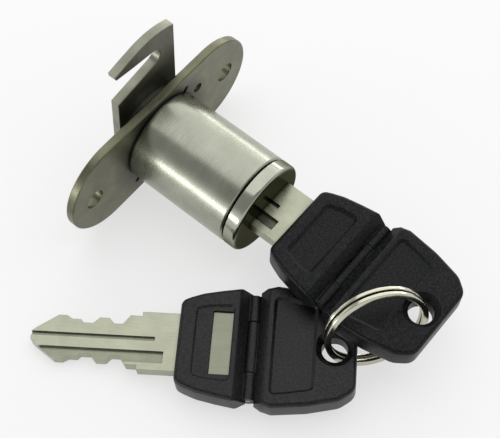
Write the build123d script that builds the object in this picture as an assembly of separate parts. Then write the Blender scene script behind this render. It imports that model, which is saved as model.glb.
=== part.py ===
from build123d import *
from math import asin, cos, degrees, radians, sin
import os

os.makedirs("parts", exist_ok=True)

# Frame, in mm: the lock axis lies along Y with the key side towards -Y, +Z is up.
# The origin is on the lock axis in the flange's panel face, the floor is at z = -11.

# Barrel and flange
BARREL_R = 9.5
BARREL_LENGTH = 22.8
BARREL_BORE_R = BARREL_R - 3.0
BARREL_BEVEL = 0.35
FLANGE_LENGTH = 50.0
FLANGE_WIDTH = 22.0
FLANGE_T = 1.8
SCREW_SPACING = 38.0
SCREW_HOLE_R = 2.1
LOCATING_HOLE_RADIUS = BARREL_R + 1.855
LOCATING_HOLE_ANGLE = 19.55
LOCATING_HOLE_R = 1.1
STAKE_MARKS = ((45.0, 0.5), (224.2, 0.95))
STOP_PIN_R = 0.9
STOP_PIN_RADIUS = BARREL_R - 1.1
STOP_PIN_ANGLE = 315.0
STOP_PIN_END = 3.3

# Plug
DISC_R = BARREL_R
DISC_GAP = 0.45
DISC_T = 2.75
DISC_EDGE_R = 0.8
DISC_BACK = -BARREL_LENGTH - DISC_GAP
DISC_FRONT = DISC_BACK - DISC_T
PLUG_R = BARREL_BORE_R - 0.05
PLUG_END = 1.9
SHANK_R = 4.5
SHANK_FLAT = 3.2
SHANK_END = 5.2
KEYWAY_X = 1.0
KEYWAY_HALF = PLUG_R - 1.5
KEYWAY_INNER_HALF = PLUG_R - 2.1
KEYWAY_Z = 1.3
TURN = 90.0

# Wafers
WAFER_T = 1.0
WAFER_ROOM = 0.05
WAFER_FIRST = -BARREL_LENGTH + 2.0
WAFER_PITCH = 2.65
WAFER_COUNT = 5
WAFER_HALF_Z = PLUG_R - 2.75
SPRING_POCKET_X = (-1.3, 3.6)
SPRING_POCKET_Z = PLUG_R - 1.35
RETAINER_Y = -3.0
RETAINER_FOOT_Z = 3.0
RETAINER_GROOVE_R = BARREL_R - 2.0

# Cam and its stack
CAM_FRONT = 3.5
CAM_T = 1.8
CAM_BACK = CAM_FRONT + CAM_T
STOP_WASHER_R = BARREL_R - 0.1
STOP_WASHER_INNER = BARREL_R - 2.3
LOCK_WASHER_T = 0.8
SCREW_R = 2.45
SCREW_HEAD_R = 4.2
SCREW_HEAD_H = 2.0

# Key, in its own frame: s from the bow's front edge to its rear, t across, z through it
KEY_SHOWS = 6.2
KEY_FRONT_Y = DISC_FRONT - KEY_SHOWS
BLADE_T = 2.5
PAD_Z = 1.85
SHOULDER_S = -7.1
SHOULDER_HALF = PLUG_R - 0.75
KEY_ROOM = 0.1
TIP_ROOM = 1.8
TIP_S = KEY_FRONT_Y - RETAINER_Y + TIP_ROOM
EDGE_GROOVE = 2.25
BOW_T = 5.2
BOW_END = 32.8
BOW_RIM_R = 0.8
FRONT_HALF = 8.2
FRONT_WIDEST = 11.0
HINGE_HALF = 10.6
REAR_HALF = 11.9
HINGE_S = 13.6
WALL_GAP = 0.2
KNUCKLE_R = 1.2
KNUCKLE_RELIEF_R = 1.3
KNUCKLE_SPLIT = 5.0
KNUCKLE_END = 10.2
HINGE_PIN_R = 0.5
HINGE_BORE_R = 0.55
RECESS_CORNER_R = 0.6
RECESS_SLOPE = 50.0
RING_HOLE = (28.7, 0.0)
RING_HOLE_R = 2.4
RING_HOLE_FLARE = 1.2

# Spare key: where its bow's front edge is and how far over the floor, its heading and tilt
SPARE_XY = (-29.0, KEY_FRONT_Y + 3.15)
SPARE_RISE = 3.3484
SPARE_HEADING = -55.2
SPARE_TILT = 4.4
FLOOR_Z = -11.0

# Ring: a flat wire in two turns
RING_CENTRE = (-5.638, KEY_FRONT_Y - 23.769, -0.821)
RING_AXIS = (-0.5503, -0.7945, 0.2568)
RING_R = 9.284
RING_WIRE_RADIAL = 1.2
RING_WIRE_AXIAL = 0.8
RING_STEP = 1.2
RING_CROSSING = 40.0
RING_CROSSING_AT = 300.0


def rod(radius, y0, y1, x=0.0, z=0.0):
    """Round bar along the lock axis."""
    return Pos(x, (y0 + y1) / 2, z) * Rot(90, 0, 0) * Cylinder(radius, y1 - y0)


def block(x0, x1, y0, y1, z0, z1):
    """Box between two corners."""
    middle = Pos((x0 + x1) / 2, (y0 + y1) / 2, (z0 + z1) / 2)
    return middle * Box(x1 - x0, y1 - y0, z1 - z0)


def plate(face, y0, y1):
    """Flat part across the lock axis, from an outline in X and Z."""
    return extrude(Plane.XZ.offset(-y1) * face, y1 - y0)


def slab(points, z0, z1):
    """Flat part in a key's own frame, from an outline in s and t."""
    return extrude(Plane.XY.offset(z0) * make_face(Polyline(points, close=True)), z1 - z0)


def both_sides(half):
    """Closed outline from (s, half-width) pairs."""
    return [(s, w) for s, w in half] + [(s, -w) for s, w in reversed(half)]


def polar(radius, angle):
    """Point at an angle from +X towards +Z."""
    return radius * cos(radians(angle)), radius * sin(radians(angle))


# Barrel
def make_barrel():
    body = rod(BARREL_R, -BARREL_LENGTH, FLANGE_T)
    body = chamfer(body.edges().sort_by(Axis.Y)[0], BARREL_BEVEL)
    body -= rod(BARREL_BORE_R, -BARREL_LENGTH - 1, FLANGE_T + 1)
    body -= rod(RETAINER_GROOVE_R, RETAINER_Y - 0.65, RETAINER_Y + 0.65)
    px, pz = polar(STOP_PIN_RADIUS, STOP_PIN_ANGLE)
    return body - rod(STOP_PIN_R, -2.0, FLANGE_T + 1, px, pz)


# Flange plate, staked on the barrel's end
def make_flange():
    outline = SlotOverall(FLANGE_LENGTH, FLANGE_WIDTH)
    body = plate(outline, 0, FLANGE_T)
    body = chamfer(body.faces().sort_by(Axis.Y)[0].edges(), 0.2)
    body = chamfer(body.faces().sort_by(Axis.Y)[-1].edges(), 0.2)
    body -= rod(BARREL_R, -1, FLANGE_T + 1)
    for side in (-1, 1):
        body -= rod(SCREW_HOLE_R, -1, FLANGE_T + 1, side * SCREW_SPACING / 2)
    body -= rod(LOCATING_HOLE_R, -1, FLANGE_T + 1, *polar(LOCATING_HOLE_RADIUS, LOCATING_HOLE_ANGLE))
    for angle, beyond in STAKE_MARKS:
        x, z = polar(BARREL_R + beyond, angle)
        body -= Pos(x, 0, z) * Rot(0, 45, 0) * Box(0.8, 0.9, 1.5)
    return body


# Stop pin
def make_stop_pin():
    px, pz = polar(STOP_PIN_RADIUS, STOP_PIN_ANGLE)
    body = rod(STOP_PIN_R, -2.0, STOP_PIN_END, px, pz)
    return chamfer(body.edges().sort_by(Axis.Y)[-1], 0.15)


def wafer_y(index):
    return WAFER_FIRST + WAFER_PITCH * index


def keyway(half, y0, y1):
    """Stretch of the keyway, with the wards that run in the blade's grooves."""
    room = block(-half, half, y0, y1, -KEYWAY_Z, KEYWAY_Z)
    crest = KEYWAY_INNER_HALF - KEY_ROOM
    inner, outer = crest - EDGE_GROOVE + KEY_ROOM, crest - KEY_ROOM / 2
    for side in (-1, 1):
        for a, b, level in ((side * inner, side * outer, 0.64), (-side * 0.1, -side * 0.7, 0.79)):
            z0, z1 = sorted((-side * level, -side * 2.0))
            room -= block(min(a, b), max(a, b), y0 - 1, y1 + 1, z0, z1)
    return Pos(KEYWAY_X, 0, 0) * room


# Plug with its disc, keyway, wafer slots and flatted shank
def make_plug():
    disc = rod(DISC_R, DISC_FRONT, DISC_BACK)
    disc = fillet(disc.edges().sort_by(Axis.Y)[0], DISC_EDGE_R)
    body = disc + rod(BARREL_R - 2.0, DISC_BACK - 0.1, -BARREL_LENGTH - 0.02)
    body += rod(PLUG_R, DISC_BACK - 0.1, PLUG_END)
    shank = rod(SHANK_R, PLUG_END - 0.1, SHANK_END)
    body += shank & block(-SHANK_FLAT, SHANK_FLAT, 0, 9, -9, 9)
    seat = KEY_FRONT_Y - SHOULDER_S + 0.05
    step = -BARREL_LENGTH + 1.4
    end = KEY_FRONT_Y - TIP_S + 0.5
    recess = SHOULDER_HALF + KEY_ROOM
    wide = PLUG_R + 1
    body -= Pos(KEYWAY_X, 0, 0) * block(-recess, recess, DISC_FRONT - 1, seat, -1.35, 1.35)
    body -= keyway(KEYWAY_HALF, seat - 0.1, step)
    body -= keyway(KEYWAY_INNER_HALF, step - 0.1, end)
    half = WAFER_T / 2 + WAFER_ROOM
    for index in range(WAFER_COUNT):
        y = wafer_y(index)
        body -= block(-wide, wide, y - half, y + half, -WAFER_HALF_Z - 0.05, WAFER_HALF_Z + 0.05)
        body -= block(*SPRING_POCKET_X, y - half, y + half, -SPRING_POCKET_Z, -WAFER_HALF_Z)
    body -= block(-2.05, 2.05, RETAINER_Y - half, RETAINER_Y + half, -1.0, 8)
    return body - rod(SCREW_R + 0.05, -1.9, SHANK_END + 1)


# One wafer, with its window and the lug that its spring bears on
def make_wafer(index):
    y = wafer_y(index)
    y0, y1 = y - WAFER_T / 2, y + WAFER_T / 2
    body = rod(PLUG_R - 0.1, y0, y1) & block(-PLUG_R, PLUG_R, y0, y1, -WAFER_HALF_Z, WAFER_HALF_Z)
    half = KEYWAY_INNER_HALF + 0.02
    body -= block(KEYWAY_X - half, KEYWAY_X + half, y0 - 1, y1 + 1, -1.4, 1.4)
    return body + block(-1.2, 1.2, y0, y1, 0.1 - SPRING_POCKET_Z, 0.1 - WAFER_HALF_Z)


def coil(radius, wire, length, turns):
    """Small helical spring standing on the XY plane."""
    path = Helix(length / turns, length, radius)
    return sweep((path ^ 0) * Circle(wire), path=path)


def make_wafer_spring(index):
    spring = coil(0.4, 0.1, 1.9, 3)
    middle = -(SPRING_POCKET_Z + WAFER_HALF_Z) / 2
    return Pos(1.4, wafer_y(index), middle - 0.05) * Rot(0, 90, 0) * spring


# Wafer that holds the plug in the barrel, and its spring
def make_retainer():
    top = RETAINER_GROOVE_R + 0.5
    body = block(-2, 2, RETAINER_Y - 0.5, RETAINER_Y + 0.5, RETAINER_FOOT_Z, top)
    return body & rod(RETAINER_GROOVE_R - 0.1, RETAINER_Y - 0.5, RETAINER_Y + 0.5)


def make_retainer_spring():
    return Pos(0, RETAINER_Y, -0.85) * coil(0.38, 0.1, RETAINER_FOOT_Z + 0.7, 5)


# Washer whose cut-out rim meets the stop pin at both ends of the quarter turn
def make_stop_washer():
    y0, y1 = 1.95, CAM_FRONT
    body = rod(STOP_WASHER_R, y0, y1) - double_d(y0 - 1, y1 + 1)
    room = degrees(asin(STOP_PIN_R / STOP_PIN_RADIUS)) + 0.5
    first = STOP_PIN_ANGLE - TURN - room
    last = STOP_PIN_ANGLE + room
    a, b = polar(STOP_WASHER_INNER, first), polar(STOP_WASHER_INNER, last)
    c, d = polar(12, last), polar(12, first)
    inner = ThreePointArc(a, polar(STOP_WASHER_INNER, (first + last) / 2), b)
    outer = ThreePointArc(c, polar(12, (first + last) / 2), d)
    sector = make_face([inner, Line(b, c), outer, Line(d, a)])
    return body - plate(sector, y0 - 1, y1 + 1)


def double_d(y0, y1):
    """Hole that fits the flatted shank."""
    clear = 0.03
    hole = rod(SHANK_R + clear, y0, y1)
    return hole & block(-SHANK_FLAT - clear, SHANK_FLAT + clear, y0, y1, -9, 9)


# Hook cam: a plate with a slot open to one side
def make_hook_cam():
    left, right, foot = -7.7, 8.4, -1.0
    edges = [
        Line((left, foot), (-7.2, 14.8)),
        Line((-7.2, 14.8), (2.7, 16.7)),
        ThreePointArc((2.7, 16.7), (4.5, 18.8), (2.6, 20.8)),
        Line((2.6, 20.8), (-2.8, 21.6)),
        Line((-2.8, 21.6), (-7.0, 22.4)),
        Line((-7.0, 22.4), (-7.2, 23.4)),
        ThreePointArc((-7.2, 23.4), (-4.9, 24.0), (-2.0, 24.6)),
        ThreePointArc((-2.0, 24.6), (3.6, 24.9), (right, 23.4)),
        Line((right, 23.4), (right, foot)),
        ThreePointArc((right, foot), (0.35, -9.0), (left, foot)),
    ]
    body = plate(make_face(edges), CAM_FRONT, CAM_BACK)
    body = chamfer(body.faces().sort_by(Axis.Y)[0].edges(), 0.12)
    return body - double_d(CAM_FRONT - 1, CAM_BACK + 1)


# Split lock washer
def make_lock_washer():
    y0, y1 = CAM_BACK, CAM_BACK + LOCK_WASHER_T
    body = rod(4.4, y0, y1) - rod(SCREW_R + 0.15, y0 - 1, y1 + 1)
    return body - Rot(0, 15, 0) * block(0, 6, y0 - 1, y1 + 1, -0.3, 0.3)


# Screw that holds the cam on the plug
def make_cam_screw():
    seat = CAM_BACK + LOCK_WASHER_T
    head = rod(SCREW_HEAD_R, seat, seat + SCREW_HEAD_H)
    head = chamfer(head.edges().sort_by(Axis.Y)[-1], 0.5)
    top = seat + SCREW_HEAD_H
    for turn in (0, 90):
        head -= Rot(0, turn, 0) * block(-2.4, 2.4, top - 1.1, top + 1, -0.4, 0.4)
    return head + rod(SCREW_R, -1.6, seat + 0.1)


def towards_tip(share):
    """Place along the blade between its shoulder and its tip."""
    return SHOULDER_S + (TIP_S - SHOULDER_S) * share


# Key blade, cut alike on both edges and grooved on both faces
def make_blade():
    z = BLADE_T / 2
    root = KEYWAY_HALF - KEY_ROOM
    crest = KEYWAY_INNER_HALF - KEY_ROOM
    half = [(9.9, 7.3), (5.9, 7.3), (5.9, SHOULDER_HALF), (SHOULDER_S, SHOULDER_HALF)]
    half.append((SHOULDER_S, root))
    # Share of the way to the tip, and depth below the root's or the cuts' crest
    half.append((towards_tip(0.108), root))
    for share, depth in (
        (0.172, 1.2), (0.251, 1.2), (0.296, 0.15), (0.389, 0.15), (0.443, 1.3), (0.532, 1.3),
        (0.562, 0.65), (0.64, 0.65), (0.695, 0.0), (0.768, 0.0),
    ):
        half.append((towards_tip(share), crest - depth))
    half += [(towards_tip(0.961), 1.5), (TIP_S, 0.8)]
    body = slab(both_sides(half), -z, z) + block(6.2, 9.9, -6.1, 6.1, 0, PAD_Z)
    for turn in (0, 180):
        face = Rot(turn, 0, 0)
        body -= face * block(TIP_S - 1, -2.45, -crest - 0.05, EDGE_GROOVE - crest, z - 0.7, z + 1)
        body -= face * block(TIP_S - 1, -4.3, 0.0, 0.8, z - 0.55, z + 1)
    return body


def grip(half, rounds, end, base, tip):
    """Half of the bow: rounded in plan, with a 45 degree edge at the hinge."""
    z = BOW_T / 2
    plan = make_face(Polyline(both_sides(half), close=True))
    for s, radius in rounds:
        plan = fillet([v for v in plan.vertices() if abs(v.X - s) < 0.01], radius)
    side = Polyline([(end, -z), (base, -z), (tip, 0), (base, z), (end, z)], close=True)
    profile = extrude(Plane.XZ.offset(-15) * make_face(side), 30)
    body = extrude(Plane.XY.offset(-z) * plan, BOW_T) & profile
    for pick in (0, -1):
        body = fillet(body.faces().sort_by(Axis.Z)[pick].edges(), BOW_RIM_R)
    return body


def sunk(half, depth):
    """Recess with leaning walls, cut from the bow's upper face; half is its floor's outline."""
    z = BOW_T / 2
    floor = make_face(Polyline(both_sides(half), close=True))
    floor = fillet(floor.vertices(), RECESS_CORNER_R)
    return extrude(Plane.XY.offset(z - depth) * floor, depth + 0.4, taper=-RECESS_SLOPE)


def across(radius, t0, t1):
    """Round bar along the fold axis."""
    return Pos(HINGE_S, (t0 + t1) / 2, 0) * Rot(90, 0, 0) * Cylinder(radius, t1 - t0)


# Front grip, moulded over the blade's tang
def make_front_grip():
    z = BOW_T / 2
    tip = HINGE_S - WALL_GAP
    base = tip - z
    steps = ((0.0, 0.98), (0.16, 1.08), (0.37, 1.185), (0.7, 1.275))
    half = [(base * share, FRONT_HALF * wider) for share, wider in steps]
    rounds = [(0.0, 1.6), (half[2][0], 6.0), (half[3][0], 6.0)]
    body = grip(half + [(base, FRONT_WIDEST), (tip, HINGE_HALF)], rounds, 0.0, base, tip)
    for side in (-1, 1):
        t0, t1 = sorted((side * (KNUCKLE_SPLIT + 0.1), side * KNUCKLE_END))
        body += across(KNUCKLE_R, t0, t1)
    body -= across(KNUCKLE_RELIEF_R, -KNUCKLE_SPLIT, KNUCKLE_SPLIT)
    body -= across(HINGE_BORE_R, -12, 12)
    body -= make_blade()
    body -= block(6.1, 10.0, -6.2, 6.2, 0, z + 1)
    body -= sunk([(3.3, 6.4), (5.6, 6.9), (base - 1.0, 7.2)], 0.35)
    return body - Rot(180, 0, 0) * sunk([(3.1, 5.9), (5.6, 6.7), (8.5, 7.0)], 0.55)


# Rear grip, the half that folds
def make_rear_grip():
    z = BOW_T / 2
    tip = HINGE_S + WALL_GAP
    base = tip + z
    steps = ((0.08, 1.0), (0.47, 0.945), (0.83, 0.83), (1.0, 0.65))
    half = [(base + (BOW_END - base) * share, REAR_HALF * wider) for share, wider in steps]
    rounds = [(half[0][0], 1.2), (half[1][0], 12.0), (half[2][0], 4.0), (BOW_END, 2.6)]
    half = [(tip, HINGE_HALF), (base, REAR_HALF - 0.4)] + half
    body = grip(half, rounds, BOW_END, base, tip)
    body += across(KNUCKLE_R, -KNUCKLE_SPLIT + 0.1, KNUCKLE_SPLIT - 0.1)
    for side in (-1, 1):
        t0, t1 = sorted((side * KNUCKLE_SPLIT, side * 12))
        body -= across(KNUCKLE_RELIEF_R, t0, t1)
    body -= across(HINGE_BORE_R, -12, 12)
    for turn in (0, 180):
        body -= Rot(turn, 0, 0) * sunk([(17.8, 9.1), (20.6, 8.7), (24.8, 7.9)], 0.5)
    body -= Pos(27.6, 4.6, -z) * Cylinder(1.0, 0.2)
    s, t = RING_HOLE
    flare = Cone(RING_HOLE_R + 2 * RING_HOLE_FLARE, RING_HOLE_R, 2 * RING_HOLE_FLARE)
    for turn in (0, 180):
        body -= Pos(s, t, 0) * Rot(turn, 0, 0) * Pos(0, 0, -z) * flare
    return body - Pos(s, t, 0) * Cylinder(RING_HOLE_R, BOW_T + 2)


def make_hinge_pin():
    return across(HINGE_PIN_R, -KNUCKLE_END, KNUCKLE_END)


# Split ring: one wire, a flat turn, a crossing and a second flat turn
def make_ring():
    def point(angle, level):
        x, y = polar(RING_R, angle)
        return (x, y, level)

    def section(angle, level):
        x, y, z = point(angle, level)
        face = Plane((x, y, z), x_dir=(x, y, 0), z_dir=(-y, x, 0))
        return face * RectangleRounded(RING_WIRE_RADIAL, RING_WIRE_AXIAL, 0.2)

    low, high = -RING_STEP / 2, RING_STEP / 2
    start = RING_CROSSING_AT + RING_CROSSING / 2
    end = start - RING_CROSSING
    turn = 360.0 - RING_CROSSING
    flat = revolve(section(start, low), Axis.Z, turn)
    second = revolve(section(start, high), Axis.Z, turn)
    marks = []
    for u in (0, 0.5, 1):
        marks.append(point(end + RING_CROSSING * u, low + RING_STEP * u))
    tangents = []
    for angle in (end, start):
        x, y = polar(1, angle + 90)
        tangents.append((x, y, 0))
    crossing = sweep(section(end, low), path=Spline(marks, tangents=tangents))
    ring = flat + crossing + second
    print("gap between the ring's turns", round(RING_STEP - RING_WIRE_AXIAL, 3), "mm")
    return Plane(RING_CENTRE, x_dir=ring_x(), z_dir=RING_AXIS) * ring


def ring_x():
    """Level direction in the ring's plane, towards the fixed key."""
    level = Vector(*RING_AXIS).cross(Vector(0, 0, 1)).normalized()
    return level if level.X > 0 else level * -1


def spare_plane():
    """Frame of the spare key: the blade leans down to the floor, the bow is on the ring."""
    h, a = radians(SPARE_HEADING), radians(SPARE_TILT)
    s_axis = Vector(cos(h) * cos(a), sin(h) * cos(a), sin(a))
    up = s_axis.cross(Vector(-sin(h), cos(h), 0))
    return Plane((*SPARE_XY, FLOOR_Z + SPARE_RISE), x_dir=s_axis, z_dir=up)


fixed = Plane((KEYWAY_X, KEY_FRONT_Y, 0), x_dir=(0, -1, 0), z_dir=(0, 0, -1))
spare = spare_plane()
blade = make_blade()
front_grip = make_front_grip()
rear_grip = make_rear_grip()
hinge_pin = make_hinge_pin()

nodes = {
    "barrel": make_barrel(),
    "flange_plate": make_flange(),
    "stop_pin": make_stop_pin(),
    "plug": make_plug(),
    "retainer_wafer": make_retainer(),
    "retainer_spring": make_retainer_spring(),
    "stop_washer": make_stop_washer(),
    "hook_cam": make_hook_cam(),
    "lock_washer": make_lock_washer(),
    "cam_screw": make_cam_screw(),
    "key_blade": fixed * blade,
    "key_front_grip": fixed * front_grip,
    "key_rear_grip": fixed * rear_grip,
    "key_hinge_pin": fixed * hinge_pin,
    "split_ring": make_ring(),
    "spare_key_blade": spare * blade,
    "spare_key_front_grip": spare * front_grip,
    "spare_key_rear_grip": spare * rear_grip,
    "spare_key_hinge_pin": spare * hinge_pin,
}
for number in range(WAFER_COUNT):
    nodes[f"wafer_{number + 1}"] = make_wafer(number)
    nodes[f"wafer_spring_{number + 1}"] = make_wafer_spring(number)

for name, shape in nodes.items():
    export_step(shape, f"parts/{name}.step")

ring_normal = Vector(*RING_AXIS).normalized()
axis_point = spare.origin + spare.x_dir * HINGE_S
print("spare fold axis through", axis_point, "along", spare.y_dir)
print("ring axis through", RING_CENTRE, "along", ring_normal)
hole = fixed.origin + fixed.x_dir * RING_HOLE[0] + fixed.y_dir * RING_HOLE[1]
print("ring hole of the fixed key", hole)
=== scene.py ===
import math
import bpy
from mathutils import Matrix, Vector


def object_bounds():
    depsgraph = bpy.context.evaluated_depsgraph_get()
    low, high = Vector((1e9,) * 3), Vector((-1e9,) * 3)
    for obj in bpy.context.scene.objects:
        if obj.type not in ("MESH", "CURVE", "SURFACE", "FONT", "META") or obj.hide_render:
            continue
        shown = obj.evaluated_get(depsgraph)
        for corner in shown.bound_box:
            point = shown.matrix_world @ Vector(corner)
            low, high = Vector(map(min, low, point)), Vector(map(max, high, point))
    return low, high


bl_info = {
    "name": "Pedestal cam lock looks",
    "version": (1, 0, 0),
    "blender": (4, 5, 0),
    "location": "3D View > Sidebar > Cam lock",
    "description": "Finishes a furniture cam lock with two folding keys, and its studio",
    "category": "Object",
}

from typing import NamedTuple

import bpy
from bpy.props import FloatProperty, FloatVectorProperty, PointerProperty
from mathutils import Matrix, Vector

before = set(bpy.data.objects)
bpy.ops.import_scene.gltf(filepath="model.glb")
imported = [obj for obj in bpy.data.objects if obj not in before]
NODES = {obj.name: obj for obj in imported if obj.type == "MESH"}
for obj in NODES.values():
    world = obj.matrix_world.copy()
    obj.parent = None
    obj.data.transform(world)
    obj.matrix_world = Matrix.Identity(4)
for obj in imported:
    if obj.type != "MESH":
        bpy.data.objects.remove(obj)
CAD_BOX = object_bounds()

MM = 0.001
KEYS = ("key", "spare_key")
WAFERS = [n for n in NODES if n.startswith("wafer_") and "spring" not in n]
SPRINGS = [n for n in NODES if "spring" in n]
SMALL_PARTS = ["stop_washer", "lock_washer", "cam_screw", "stop_pin"]
SMALL_PARTS += [f"{key}_hinge_pin" for key in KEYS]

# Each key's own frame in mm: its bow's front edge, along the bow and through it
KEY_FRAMES = {
    "key": (Vector((1.0, -32.2, 0)), Vector((0, -1, 0)), Vector((0, 0, -1))),
    "spare_key": (
        Vector((-29.0, -29.05, -7.6516)),
        Vector((0.569032, -0.818729, 0.076719)),
        Vector((-0.043785, 0.062998, 0.997053)),
    ),
}

# Plastic bows: the fine sparkle's darkest and lightest share of the colour, and where it ranges
SPARKLE_DARK = 0.5
SPARKLE_LIGHT = 6.0
SPARKLE_RANGE = (0.4, 0.72)
GRIT_BUMP = 0.03 * MM
GRIT_STRENGTH = 0.5
GRIP_EDGE = 0.2 * MM
PLASTIC_IOR = 1.5

# Pale scuffs and painted glints on the bows' rims, broken up by clouds, and the grey line where
# the mould parted
SCUFF_GLINT_REACH = 0.25 * MM
SCUFF_GLINT_BREAKS = (0.45, 0.6)
SCUFF_GLINT_GREY = (0.05, 0.054, 0.05)
SCUFF_GLINT_CLOUDS = 180.0
PARTING_LINE = (0.04 * MM, 0.1 * MM)
PARTING_COVER = 0.7
PARTING_BREAKS = 0.2
PARTING_GREY = (0.035, 0.036, 0.035)

# Metals: clouds per metre in the plate, rounding of its edges, and the depth of its grain
PLATE_CLOUDS = 260.0
METAL_EDGE = 0.1 * MM
WIRE_EDGE = 0.02 * MM
GRAIN_BUMP = 0.002 * MM
GRAIN_STRENGTH = 0.35

# Shares of the roughness between which the grain moves a metal's, and the clouds the plastic's
METAL_ROUGHNESS = (0.82, 1.2)
PLASTIC_ROUGHNESS = (0.85, 1.15)

# Painted shade in the metals' corners and grooves: its reach, its strength, and its share of the
# metal's colour
CORNER_SHADE_REACH = 1.2 * MM
CORNER_SHADE_STRENGTH = 0.75
CORNER_SHADE_SHARE = 0.12

# Reflections at a glancing angle on the plug's disc
DISC_TINT = (0.3, 0.3, 0.28)

# Dents beside the barrel, where the flange is staked on it, darkened with painted shade
STAKE_MARKS = ((7.3 * MM, 0, 7.3 * MM), (-7.5 * MM, 0, -7.3 * MM))

# Where each painted shade is full and where it ends, measured from a stake mark, the axis and the
# flange
STAKE_SHADE_REACH = (0.7 * MM, 1.0 * MM)
FLANGE_SHADE_REACH = (9.5 * MM, 14.0 * MM)
SEAM_SHADE_REACH = (0.15 * MM, 0.5 * MM)

# Height in a blade below which a face is a groove's floor, and above which it is the raised pad
GROOVE_FLOOR = (0.8 * MM, 1.0 * MM)
RAISED_PAD = (1.5 * MM, 1.7 * MM)

# Smooth shading: corners closer than this are one, and edges over this angle stay sharp
WELD = 0.002 * MM
CREASE = math.radians(28)

# The photograph's camera, in millimetres in the lock's frame, with its clip ends in metres
CAMERA_AT = (-92.85, -90.95, 206.45)
CAMERA_RIGHT = (0.63333, -0.77342, 0.02671)
CAMERA_UP = (0.67353, 0.56788, 0.47314)
CAMERA_BACK = (-0.38111, -0.28167, 0.88058)
LENS_MM = 90.15
SENSOR_MM = 36.0
CLIP_FROM = 0.01
CLIP_TO = 10.0

# The floor's size in metres, its gap under the lock, and how much of it glows for the camera
FLOOR_SIZE = 4.0
FLOOR_GAP = 0.02 * MM
FLOOR_GLOW = 0.6
FLOOR_ROUGHNESS = 0.9

# How bright the room is near the horizon and overhead, and the heights between which it changes
HORIZON = 1.0
CEILING = 0.4
CEILING_FROM = (0.25, 0.5)

# Lamps in metres: where each one is, and its width and height
AIM = (0, -0.025, 0)
OVERHEAD_PANEL = ((0.28, 0.12, 0.46), (1.02, 1.02))
LEFT_STRIP = ((-1.87, 0.58, 0.136), (2.38, 0.272))
RIGHT_STRIP = ((1.87, 0.65, 0.136), (1.7, 0.272))
RIGHT_SHARE = 0.4


class Tone(NamedTuple):
    """A toned place: how much of it is covered, and with what share of the metal's colour."""

    cover: float
    shade: float


# Painted shade round the barrel where it meets the flange
SEAM_PAINTED_SHADE = Tone(0.9, 0.06)
# Painted shade in the stake dents
STAKE_PAINTED_SHADE = Tone(1.0, 0.05)
# Painted shade on the flange's face round the barrel
FLANGE_PAINTED_SHADE = Tone(0.9, 0.15)
# Painted shade on the hook's flat faces
HOOK_FACE_PAINTED_SHADE = Tone(0.85, 0.5)
# Painted dark reflection on the plug's front face
DISC_FACE_PAINTED_REFLECTION = Tone(0.75, 0.12)
PAD_TONE = Tone(0.6, 0.35)
GROOVE_SHADE = 0.12
# The hook's cut edges painted lighter: partly bare steel, partly a painted highlight
HOOK_EDGE_STEEL_AND_HIGHLIGHT = 1.5


class Finish(NamedTuple):
    """A metal's roughness, its grain's fineness along X, Y and Z, and how cloudy it is."""

    roughness: float
    grain: tuple
    contrast: float = 0.12


FLANGE_SHEET = Finish(0.36, (500, 3000, 6000), 0.22)
CAM_SHEET = Finish(0.38, (5000, 3000, 600), 0.25)
POLISHED_DISC = Finish(0.16, (2500, 2500, 2500), 0.1)
PLATED_STEEL = Finish(0.3, (3000, 3000, 3000))
STAMPED_BRASS = Finish(0.34, (4000, 1500, 900))
SPRING_WIRE = Finish(0.25, (3000, 3000, 3000))
DRAWN_BLADE = Finish(0.3, (300, 4000, 4000))
BRIGHT_RING = Finish(0.14, (1500, 1500, 1500), 0.08)
TURNED_GRAIN = (300, 9000, 300)


def colour_prop(name, about, default):
    """A colour that the sidebar shows."""
    return FloatVectorProperty(
        name=name, description=about, subtype="COLOR", size=3, min=0.0, max=1.0, default=default
    )


def share_prop(name, about, default):
    """A slider from 0 to 1."""
    return FloatProperty(
        name=name, description=about, subtype="FACTOR", min=0.0, max=1.0, default=default
    )


def light_prop(name, about, default):
    """A lamp's power in watts."""
    return FloatProperty(name=name, description=about, default=default, min=0.0)


class LockMetals(bpy.types.PropertyGroup):
    """Finishes of the lock itself"""

    barrel: colour_prop("Barrel", "Satin nickel of the barrel", (0.35, 0.36, 0.295))
    flange: colour_prop("Flange", "Plated sheet of the flange", (0.16, 0.16, 0.108))
    cam: colour_prop("Hook cam", "Duller sheet of the hook cam", (0.17, 0.17, 0.135))
    disc: colour_prop("Plug", "Polished nickel of the plug", (0.4, 0.41, 0.34))
    inner: colour_prop("Small parts", "Screw, washers and pins", (0.2, 0.2, 0.18))
    wafer: colour_prop("Wafers", "Stamped brass", (0.74, 0.56, 0.27))
    barrel_gloss: share_prop("Barrel roughness", "How wide the barrel's highlights are", 0.27)


class KeyLooks(bpy.types.PropertyGroup):
    """Finishes of the keys and their ring"""

    blade: colour_prop("Blade", "Nickel plate of the blades", (0.37, 0.38, 0.29))
    grip: colour_prop("Grip", "Black plastic of the bows", (0.0032, 0.0034, 0.0038))
    ring: colour_prop("Ring", "Bright nickel of the split ring", (0.56, 0.55, 0.44))
    # Each key's share of soil and painted shade in its corners and groove floors
    soil_and_shade: share_prop("Soil in the fixed key's grooves", "How dark its groove floors are", 0.8)
    spare_soil_and_shade: share_prop("Soil in the spare key's grooves", "How dark its floors are", 0.35)
    grip_gloss: share_prop("Grip roughness", "How dull the plastic is", 0.36)
    shine: share_prop("Fixed key's shine", "How much its bow mirrors", 0.15)
    spare_shine: share_prop("Spare key's shine", "How much its bow mirrors", 0.3)
    speckle: FloatProperty(
        name="Speckle", description="Size of the plastic's fine texture", default=0.35 * MM,
        min=0.05 * MM, max=2 * MM, unit="LENGTH",
    )


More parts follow.
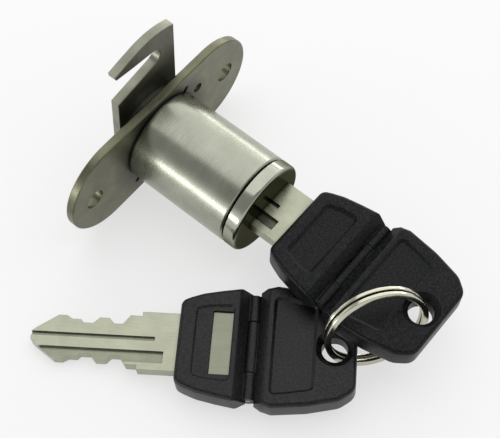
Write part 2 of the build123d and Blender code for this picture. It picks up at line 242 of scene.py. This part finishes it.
class StageLooks(bpy.types.PropertyGroup):
    """Floor and lamps"""

    floor: colour_prop("Floor", "Pale table", (0.94, 0.94, 0.94))
    panel_light: light_prop("Overhead panel", "Wide soft panel over the lock's right", 3.4)
    side_light: light_prop("Side lamp", "Long low lamp at the lock's left", 12.7)


def set_range(node, start, end, low, high):
    """Makes a Map Range node carry start to end onto low to high."""
    names = ("From Min", "From Max", "To Min", "To Max")
    for name, number in zip(names, (start, end, low, high)):
        node.inputs[name].default_value = number


class Shader:
    """A material's node tree, with short ways to add to it."""

    def __init__(self, name):
        self.material = bpy.data.materials.new(name)
        self.material.use_nodes = True
        self.tree = self.material.node_tree
        self.tree.nodes.clear()
        self.output = self.add("ShaderNodeOutputMaterial")
        self.surface = self.add("ShaderNodeBsdfPrincipled")
        self.link(self.surface.outputs["BSDF"], self.output.inputs["Surface"])
        coordinates = self.add("ShaderNodeTexCoord")
        self.place = coordinates.outputs["Object"]
        self.facing = coordinates.outputs["Normal"]

    def add(self, kind, **values):
        """Adds a node and sets it up."""
        node = self.tree.nodes.new(kind)
        for key, value in values.items():
            setattr(node, key, value)
        return node

    def link(self, start, end):
        self.tree.links.new(start, end)

    def paint(self, name, source):
        """Feeds one of the surface's inputs."""
        self.link(source, self.surface.inputs[name])

    def set(self, **values):
        """Gives the surface values that are the same all over it."""
        for key, value in values.items():
            self.surface.inputs[key.replace("_", " ")].default_value = value

    def noise(self, scale, detail, stretch=(1, 1, 1)):
        """Noise with features of 1/scale metres, made finer along the axes by stretch."""
        mapping = self.add("ShaderNodeMapping")
        mapping.inputs["Scale"].default_value = stretch
        self.link(self.place, mapping.inputs["Vector"])
        noise = self.add("ShaderNodeTexNoise")
        noise.inputs["Scale"].default_value = scale
        noise.inputs["Detail"].default_value = detail
        self.link(mapping.outputs["Vector"], noise.inputs["Vector"])
        return noise.outputs["Fac"]

    def in_key(self, key):
        """Carries the material into a key's own frame: along the bow, across it, through it."""
        corner, along, up = KEY_FRAMES[key]
        turn = Matrix((along, up.cross(along), up))
        for name, origin in (("place", corner * MM), ("facing", Vector())):
            mapping = self.add("ShaderNodeMapping")
            mapping.inputs["Rotation"].default_value = turn.to_euler()
            mapping.inputs["Location"].default_value = -(turn @ origin)
            self.link(getattr(self, name), mapping.inputs["Vector"])
            setattr(self, name, mapping.outputs["Vector"])

    def part_of(self, vector, axis):
        """One component of a vector, without its sign."""
        split = self.add("ShaderNodeSeparateXYZ")
        self.link(vector, split.inputs[0])
        size = self.add("ShaderNodeMath", operation="ABSOLUTE")
        self.link(split.outputs[axis], size.inputs[0])
        return size.outputs[0]

    def distance(self, weights, point):
        """How far the place is from a point, measured along the axes with weight 1."""
        shift = self.add("ShaderNodeVectorMath", operation="SUBTRACT")
        self.link(self.place, shift.inputs[0])
        shift.inputs[1].default_value = point
        weigh = self.add("ShaderNodeVectorMath", operation="MULTIPLY")
        self.link(shift.outputs["Vector"], weigh.inputs[0])
        weigh.inputs[1].default_value = weights
        length = self.add("ShaderNodeVectorMath", operation="LENGTH")
        self.link(weigh.outputs["Vector"], length.inputs[0])
        return length.outputs["Value"]

    def times(self, value, factor):
        """A value times a number or another value."""
        node = self.add("ShaderNodeMath", operation="MULTIPLY")
        self.link(value, node.inputs[0])
        if isinstance(factor, float):
            node.inputs[1].default_value = factor
        else:
            self.link(factor, node.inputs[1])
        return node.outputs[0]

    def spread(self, value, low, high, start=0.3, end=0.7):
        """A value from start to end carried to low to high."""
        node = self.add("ShaderNodeMapRange")
        set_range(node, start, end, low, high)
        self.link(value, node.inputs["Value"])
        return node.outputs["Result"]

    def shades(self, value, dark, light, start=0.3, end=0.7):
        """A ramp from one colour to another."""
        node = self.add("ShaderNodeValToRGB")
        stops = zip(node.color_ramp.elements, (start, end), (dark, light))
        for stop, position, colour in stops:
            stop.position = position
            stop.color = (*colour, 1)
        self.link(value, node.inputs["Fac"])
        return node.outputs["Color"]

    def mixed(self, colour, share, to):
        """A colour brought towards another by a share from 0 to 1."""
        mix = self.add("ShaderNodeMix", data_type="RGBA")
        self.link(share, mix.inputs["Factor"])
        # A Mix node's colours are its inputs 6 and 7 and its output 2
        self.link(colour, mix.inputs[6])
        mix.inputs[7].default_value = (*to, 1)
        return mix.outputs[2]

    def tone(self, share, colour, shade):
        """Brings the surface's colour towards a shade of its metal by a share from 0 to 1."""
        end = self.surface.inputs["Base Color"]
        self.link(self.mixed(end.links[0].from_socket, share, scaled(colour, shade)), end)

    def near(self, measure, reach, cover=1.0):
        """The cover where a measure lies below the reach's start, 0 where it is past its end."""
        return self.spread(measure, cover, 0.0, *reach)

    def faces(self, axis, cover, slants=(0.5, 0.9)):
        """The cover on faces that look along an axis, 0 on those that slant away from it."""
        return self.spread(self.part_of(self.facing, axis), 0.0, cover, *slants)

    def corners(self, reach):
        """1 in corners and grooves, 0 on open faces."""
        node = self.add("ShaderNodeAmbientOcclusion", samples=8)
        node.inputs["Distance"].default_value = reach
        return self.near(node.outputs["AO"], (0.35, 0.85))

    def soft_edges(self, radius):
        """Surface normals that round the edges off."""
        node = self.add("ShaderNodeBevel", samples=6)
        node.inputs["Radius"].default_value = radius
        return node.outputs["Normal"]

    def rims(self, radius):
        """1 where an edge lies within the radius, 0 on open faces."""
        flat = self.add("ShaderNodeNewGeometry")
        compare = self.add("ShaderNodeVectorMath", operation="DOT_PRODUCT")
        self.link(flat.outputs["Normal"], compare.inputs[0])
        self.link(self.soft_edges(radius), compare.inputs[1])
        return self.near(compare.outputs["Value"], (0.8, 0.99))

    def bump(self, height, distance, strength, under):
        """Relief of a height's depth in metres, laid over other normals."""
        node = self.add("ShaderNodeBump")
        node.inputs["Distance"].default_value = distance
        node.inputs["Strength"].default_value = strength
        self.link(height, node.inputs["Height"])
        self.link(under, node.inputs["Normal"])
        return node.outputs["Normal"]


def scaled(numbers, factor):
    """A colour made darker or lighter up to white, or a range of shares made a range of values."""
    return tuple(min(1.0, n * factor) for n in numbers)


def plated(name, colour, finish, key=None, edge=METAL_EDGE, corner_shade=CORNER_SHADE_STRENGTH):
    """Metal with a drawn or turned grain, cloudy plate and painted shade in its corners."""
    shader = Shader(name)
    if key:
        shader.in_key(key)
    roughness, contrast = finish.roughness, finish.contrast
    fine = shader.noise(1.0, 2.0, finish.grain)
    cloud = shader.noise(PLATE_CLOUDS, 4.0)
    metal = shader.shades(cloud, scaled(colour, 1 - contrast), scaled(colour, 1 + contrast / 2))
    # Painted shade: corners and grooves darkened towards a share of the metal's colour
    share = shader.times(shader.corners(CORNER_SHADE_REACH), corner_shade)
    shader.paint("Base Color", shader.mixed(metal, share, scaled(colour, CORNER_SHADE_SHARE)))
    shader.set(Metallic=1.0)
    low, high = scaled(METAL_ROUGHNESS, roughness)
    shader.paint("Roughness", shader.spread(fine, low, high))
    rounded = shader.soft_edges(edge)
    shader.paint("Normal", shader.bump(fine, GRAIN_BUMP, GRAIN_STRENGTH, rounded))
    return shader


def moulded(name, colour, roughness, speckle, shine, key):
    """Black plastic with a fine sparkle, rims paled by scuffs and painted glints, and a parting
    line round its side.
    """
    shader = Shader(name)
    shader.in_key(key)
    grit = shader.noise(1.0 / speckle, 5.0)
    cloud = shader.noise(SCUFF_GLINT_CLOUDS, 3.0)
    dark, light = scaled(colour, SPARKLE_DARK), scaled(colour, SPARKLE_LIGHT)
    black = shader.shades(grit, dark, light, *SPARKLE_RANGE)
    breaks = shader.spread(cloud, 0.0, 1.0, *SCUFF_GLINT_BREAKS)
    # Scuffs and painted glints: the rims made pale grey where the clouds break through
    scuff_and_glint = shader.times(shader.rims(SCUFF_GLINT_REACH), breaks)
    grey = shader.mixed(black, scuff_and_glint, SCUFF_GLINT_GREY)
    line = shader.near(shader.part_of(shader.place, "Z"), PARTING_LINE, PARTING_COVER)
    broken = shader.times(line, shader.spread(grit, PARTING_BREAKS, 1.0))
    shader.paint("Base Color", shader.mixed(grey, broken, PARTING_GREY))
    low, high = scaled(PLASTIC_ROUGHNESS, roughness)
    shader.paint("Roughness", shader.spread(cloud, low, high))
    rounded = shader.soft_edges(GRIP_EDGE)
    shader.paint("Normal", shader.bump(grit, GRIT_BUMP, GRIT_STRENGTH, rounded))
    shader.set(IOR=PLASTIC_IOR, Specular_IOR_Level=shine)
    return shader


def soft_shading():
    """Node group that joins a part's triangles and shades its curved faces smooth."""
    name = "soft_shading"
    if name in bpy.data.node_groups:
        return bpy.data.node_groups[name]
    group = bpy.data.node_groups.new(name, "GeometryNodeTree")
    for way in ("INPUT", "OUTPUT"):
        group.interface.new_socket("Geometry", in_out=way, socket_type="NodeSocketGeometry")
    add, link = group.nodes.new, group.links.new
    weld = add("GeometryNodeMergeByDistance")
    weld.inputs["Distance"].default_value = WELD
    smooth = add("GeometryNodeSetShadeSmooth")
    sharp = add("FunctionNodeCompare")
    sharp.data_type = "FLOAT"
    sharp.operation = "GREATER_THAN"
    sharp.inputs["B"].default_value = CREASE
    link(add("GeometryNodeInputMeshEdgeAngle").outputs["Unsigned Angle"], sharp.inputs["A"])
    crease = add("GeometryNodeSetShadeSmooth")
    crease.domain = "EDGE"
    crease.inputs["Shade Smooth"].default_value = False
    link(sharp.outputs["Result"], crease.inputs["Selection"])
    chain = (add("NodeGroupInput"), weld, smooth, crease, add("NodeGroupOutput"))
    for start, end in zip(chain, chain[1:]):
        link(start.outputs[0], end.inputs[0])
    return group


def dress(names, shader):
    """Gives parts a finish and smooth curves."""
    missing = [n for n in names if n not in NODES]
    if missing:
        raise RuntimeError(f"the model has no {missing}")
    for name in names:
        node = NODES[name]
        node.data.materials.clear()
        node.data.materials.append(shader.material)
        node.modifiers.new("soft_shading", "NODES").node_group = soft_shading()


class LOCK_OT_barrel(bpy.types.Operator):
    """Satin turned nickel on the barrel, with a painted shade line where it meets the flange"""

    bl_idname = "cam_lock.barrel"
    bl_label = "Barrel"

    def execute(self, context):
        looks = context.scene.lock_metals
        finish = Finish(looks.barrel_gloss, TURNED_GRAIN)
        turned = plated("barrel_nickel", looks.barrel, finish)
        # Painted shade: a dark line round the barrel where it meets the flange
        seam_shade = turned.near(turned.part_of(turned.place, "Y"), SEAM_SHADE_REACH, SEAM_PAINTED_SHADE.cover)
        turned.tone(seam_shade, looks.barrel, SEAM_PAINTED_SHADE.shade)
        dress(["barrel"], turned)
        return {"FINISHED"}


class LOCK_OT_flange(bpy.types.Operator):
    """Plated sheet on the screw flange, with painted shade round the barrel and in its stake dents
    """

    bl_idname = "cam_lock.flange"
    bl_label = "Flange plate"

    def execute(self, context):
        looks = context.scene.lock_metals
        sheet = plated("flange_steel", looks.flange, FLANGE_SHEET)
        # Painted shade: the flange's face darker round the barrel
        face = sheet.faces("Y", FLANGE_PAINTED_SHADE.cover)
        shade_round_barrel = sheet.near(sheet.distance((1, 0, 1), (0, 0, 0)), FLANGE_SHADE_REACH)
        sheet.tone(sheet.times(face, shade_round_barrel), looks.flange, FLANGE_PAINTED_SHADE.shade)
        # Painted shade: a dark spot at each stake dent
        for place in STAKE_MARKS:
            dent_shade = sheet.near(sheet.distance((1, 1, 1), place), STAKE_SHADE_REACH, STAKE_PAINTED_SHADE.cover)
            sheet.tone(dent_shade, looks.flange, STAKE_PAINTED_SHADE.shade)
        dress(["flange_plate"], sheet)
        return {"FINISHED"}


class LOCK_OT_hook(bpy.types.Operator):
    """Duller plated sheet on the hook cam, its faces painted darker as shade and its cut edges
    lighter, partly bare steel and partly a painted highlight
    """

    bl_idname = "cam_lock.hook"
    bl_label = "Hook cam"

    def execute(self, context):
        looks = context.scene.lock_metals
        # Cut edges lighter, partly bare steel and partly a painted highlight; the faces below are
        # painted darker as shade
        sheet = plated("cam_steel", scaled(looks.cam, HOOK_EDGE_STEEL_AND_HIGHLIGHT), CAM_SHEET)
        sheet.tone(sheet.faces("Y", HOOK_FACE_PAINTED_SHADE.cover), looks.cam, HOOK_FACE_PAINTED_SHADE.shade)
        dress(["hook_cam"], sheet)
        return {"FINISHED"}


class LOCK_OT_plug(bpy.types.Operator):
    """Polished nickel on the plug, its front face painted darker as a dark reflection"""

    bl_idname = "cam_lock.plug"
    bl_label = "Plug"

    def execute(self, context):
        looks = context.scene.lock_metals
        polished = plated("plug_nickel", looks.disc, POLISHED_DISC)
        # Painted reflection: the plug's front face darkened as a dark reflection
        face = polished.faces("Y", DISC_FACE_PAINTED_REFLECTION.cover, (0.6, 0.95))
        polished.tone(face, looks.disc, DISC_FACE_PAINTED_REFLECTION.shade)
        polished.set(Specular_Tint=(*DISC_TINT, 1))
        dress(["plug"], polished)
        return {"FINISHED"}


class LOCK_OT_inner_parts(bpy.types.Operator):
    """Screw, washers, pins, wafers and springs"""

    bl_idname = "cam_lock.inner_parts"
    bl_label = "Small parts"

    def execute(self, context):
        looks = context.scene.lock_metals
        dress(SMALL_PARTS, plated("inner_steel", looks.inner, PLATED_STEEL))
        dress(WAFERS + ["retainer_wafer"], plated("wafer_brass", looks.wafer, STAMPED_BRASS))
        dress(SPRINGS, plated("spring_steel", looks.inner, SPRING_WIRE, edge=WIRE_EDGE))
        return {"FINISHED"}


class LOCK_OT_blades(bpy.types.Operator):
    """Nickel plate with a faint drawn grain, and groove floors darkened by soil and painted shade,
    on both key blades
    """

    bl_idname = "cam_lock.blades"
    bl_label = "Key blades"

    def execute(self, context):
        looks = context.scene.key_looks
        for key, soil_and_shade in zip(KEYS, (looks.soil_and_shade, looks.spare_soil_and_shade)):
            drawn = plated(f"{key}_nickel", looks.blade, DRAWN_BLADE, key=key, corner_shade=soil_and_shade)
            level = drawn.part_of(drawn.place, "Z")
            flat = drawn.faces("Z", 1.0, (0.3, 0.6))
            # Soil and painted shade: the groove floors darkened
            floor_soil_and_shade = drawn.times(drawn.near(level, GROOVE_FLOOR, soil_and_shade), flat)
            drawn.tone(floor_soil_and_shade, looks.blade, GROOVE_SHADE)
            pad = drawn.times(drawn.spread(level, 0.0, PAD_TONE.cover, *RAISED_PAD), flat)
            drawn.tone(pad, looks.blade, PAD_TONE.shade)
            dress([f"{key}_blade"], drawn)
        return {"FINISHED"}


class LOCK_OT_grips(bpy.types.Operator):
    """Black moulded plastic on the keys' bows"""

    bl_idname = "cam_lock.grips"
    bl_label = "Key bows"

    def execute(self, context):
        looks = context.scene.key_looks
        for key, shine in zip(KEYS, (looks.shine, looks.spare_shine)):
            plastic = moulded(
                f"{key}_plastic", looks.grip, looks.grip_gloss, looks.speckle, shine, key
            )
            dress([f"{key}_front_grip", f"{key}_rear_grip"], plastic)
        return {"FINISHED"}


class LOCK_OT_ring(bpy.types.Operator):
    """Bright nickel on the split ring"""

    bl_idname = "cam_lock.ring"
    bl_label = "Split ring"

    def execute(self, context):
        looks = context.scene.key_looks
        dress(["split_ring"], plated("ring_nickel", looks.ring, BRIGHT_RING))
        return {"FINISHED"}


def add_lamp(name, place, size, watts):
    """Soft lamp that looks at the lock; size is its width and height."""
    lamp = bpy.data.lights.new(name, "AREA")
    lamp.shape = "RECTANGLE"
    lamp.size, lamp.size_y = size
    lamp.energy = watts
    holder = bpy.data.objects.new(name, lamp)
    bpy.context.scene.collection.objects.link(holder)
    holder.location = place
    aim = Vector(AIM) - Vector(place)
    holder.rotation_euler = aim.to_track_quat("-Z", "Y").to_euler()


def seen_directly(shader):
    """1 for camera, mirror and glass rays."""
    path = shader.add("ShaderNodeLightPath")
    total = path.outputs["Is Camera Ray"]
    for ray in ("Is Glossy Ray", "Is Transmission Ray"):
        both = shader.add("ShaderNodeMath", operation="MAXIMUM")
        shader.link(total, both.inputs[0])
        shader.link(path.outputs[ray], both.inputs[1])
        total = both.outputs[0]
    return total


class LOCK_OT_stage(bpy.types.Operator):
    """Pale floor, soft lamps, pale world and the camera"""

    bl_idname = "cam_lock.stage"
    bl_label = "Stage"

    def execute(self, context):
        looks = context.scene.stage_looks
        scene = context.scene
        scene.view_settings.view_transform = "Standard"
        low, _ = CAD_BOX
        self.floor(looks, low[2] - FLOOR_GAP)
        self.world(scene)
        add_lamp("overhead_panel", *OVERHEAD_PANEL, looks.panel_light)
        add_lamp("left_strip", *LEFT_STRIP, looks.side_light)
        add_lamp("right_strip", *RIGHT_STRIP, looks.side_light * RIGHT_SHARE)
        self.camera(scene)
        return {"FINISHED"}

    def floor(self, looks, height):
        """Pale table that stays pale where the camera, metal or glass sees it."""
        bpy.ops.object.select_all(action="DESELECT")
        bpy.ops.mesh.primitive_plane_add(size=FLOOR_SIZE, location=(0, 0, height))
        table = bpy.context.object
        table.name = "floor"
        bpy.ops.object.transform_apply(location=True, rotation=True, scale=True)
        shader = Shader("pale_table")
        shader.set(Roughness=FLOOR_ROUGHNESS, Base_Color=(*looks.floor, 1))
        glow = shader.add("ShaderNodeEmission")
        mix = shader.add("ShaderNodeMixShader")
        shader.link(shader.times(seen_directly(shader), FLOOR_GLOW), mix.inputs["Fac"])
        shader.link(shader.surface.outputs["BSDF"], mix.inputs[1])
        shader.link(glow.outputs[0], mix.inputs[2])
        shader.link(mix.outputs[0], shader.output.inputs["Surface"])
        table.data.materials.append(shader.material)

    def world(self, scene):
        """White room, dimmer overhead."""
        world = bpy.data.worlds.new("pale_room")
        world.use_nodes = True
        scene.world = world
        tree = world.node_tree
        tree.nodes.clear()
        out = tree.nodes.new("ShaderNodeOutputWorld")
        direction = tree.nodes.new("ShaderNodeTexCoord")
        split = tree.nodes.new("ShaderNodeSeparateXYZ")
        ceiling = tree.nodes.new("ShaderNodeMapRange")
        set_range(ceiling, *CEILING_FROM, HORIZON, CEILING)
        room = tree.nodes.new("ShaderNodeBackground")
        room.inputs["Color"].default_value = (1, 1, 1, 1)
        tree.links.new(direction.outputs["Generated"], split.inputs[0])
        tree.links.new(split.outputs["Z"], ceiling.inputs["Value"])
        tree.links.new(ceiling.outputs["Result"], room.inputs["Strength"])
        tree.links.new(room.outputs[0], out.inputs["Surface"])

    def camera(self, scene):
        """Camera at the photograph's angle."""
        data = bpy.data.cameras.new("photo_camera")
        data.sensor_fit = "HORIZONTAL"
        data.sensor_width = SENSOR_MM
        data.lens = LENS_MM
        data.clip_start = CLIP_FROM
        data.clip_end = CLIP_TO
        holder = bpy.data.objects.new("photo_camera", data)
        scene.collection.objects.link(holder)
        columns = (CAMERA_RIGHT, CAMERA_UP, CAMERA_BACK)
        turn = Matrix([[axis[row] for axis in columns] for row in range(3)])
        holder.matrix_world = Matrix.Translation(Vector(CAMERA_AT) * MM) @ turn.to_4x4()
        scene.camera = holder


PIECES = (
    LOCK_OT_barrel,
    LOCK_OT_flange,
    LOCK_OT_hook,
    LOCK_OT_plug,
    LOCK_OT_inner_parts,
    LOCK_OT_blades,
    LOCK_OT_grips,
    LOCK_OT_ring,
    LOCK_OT_stage,
)
SETTINGS = {"lock_metals": LockMetals, "key_looks": KeyLooks, "stage_looks": StageLooks}


class LOCK_PT_panel(bpy.types.Panel):
    """Lists the lock's finishes"""

    bl_idname = "LOCK_PT_panel"
    bl_label = "Cam lock"
    bl_space_type = "VIEW_3D"
    bl_region_type = "UI"
    bl_category = "Cam lock"

    def draw(self, context):
        for piece in PIECES:
            self.layout.operator(piece.bl_idname)
        for group in SETTINGS:
            settings = getattr(context.scene, group)
            for name in settings.bl_rna.properties.keys():
                if name not in ("rna_type", "name"):
                    self.layout.prop(settings, name)


CLASSES = (*SETTINGS.values(), *PIECES, LOCK_PT_panel)


def register():
    for item in CLASSES:
        bpy.utils.register_class(item)
    for group, kind in SETTINGS.items():
        setattr(bpy.types.Scene, group, PointerProperty(type=kind))


def unregister():
    for group in SETTINGS:
        delattr(bpy.types.Scene, group)
    for item in reversed(CLASSES):
        bpy.utils.unregister_class(item)


def main():
    register()
    bpy.ops.cam_lock.barrel()
    bpy.ops.cam_lock.flange()
    bpy.ops.cam_lock.hook()
    bpy.ops.cam_lock.plug()
    bpy.ops.cam_lock.inner_parts()
    bpy.ops.cam_lock.blades()
    bpy.ops.cam_lock.grips()
    bpy.ops.cam_lock.ring()
    bpy.ops.cam_lock.stage()


if __name__ == "__main__":
    main()
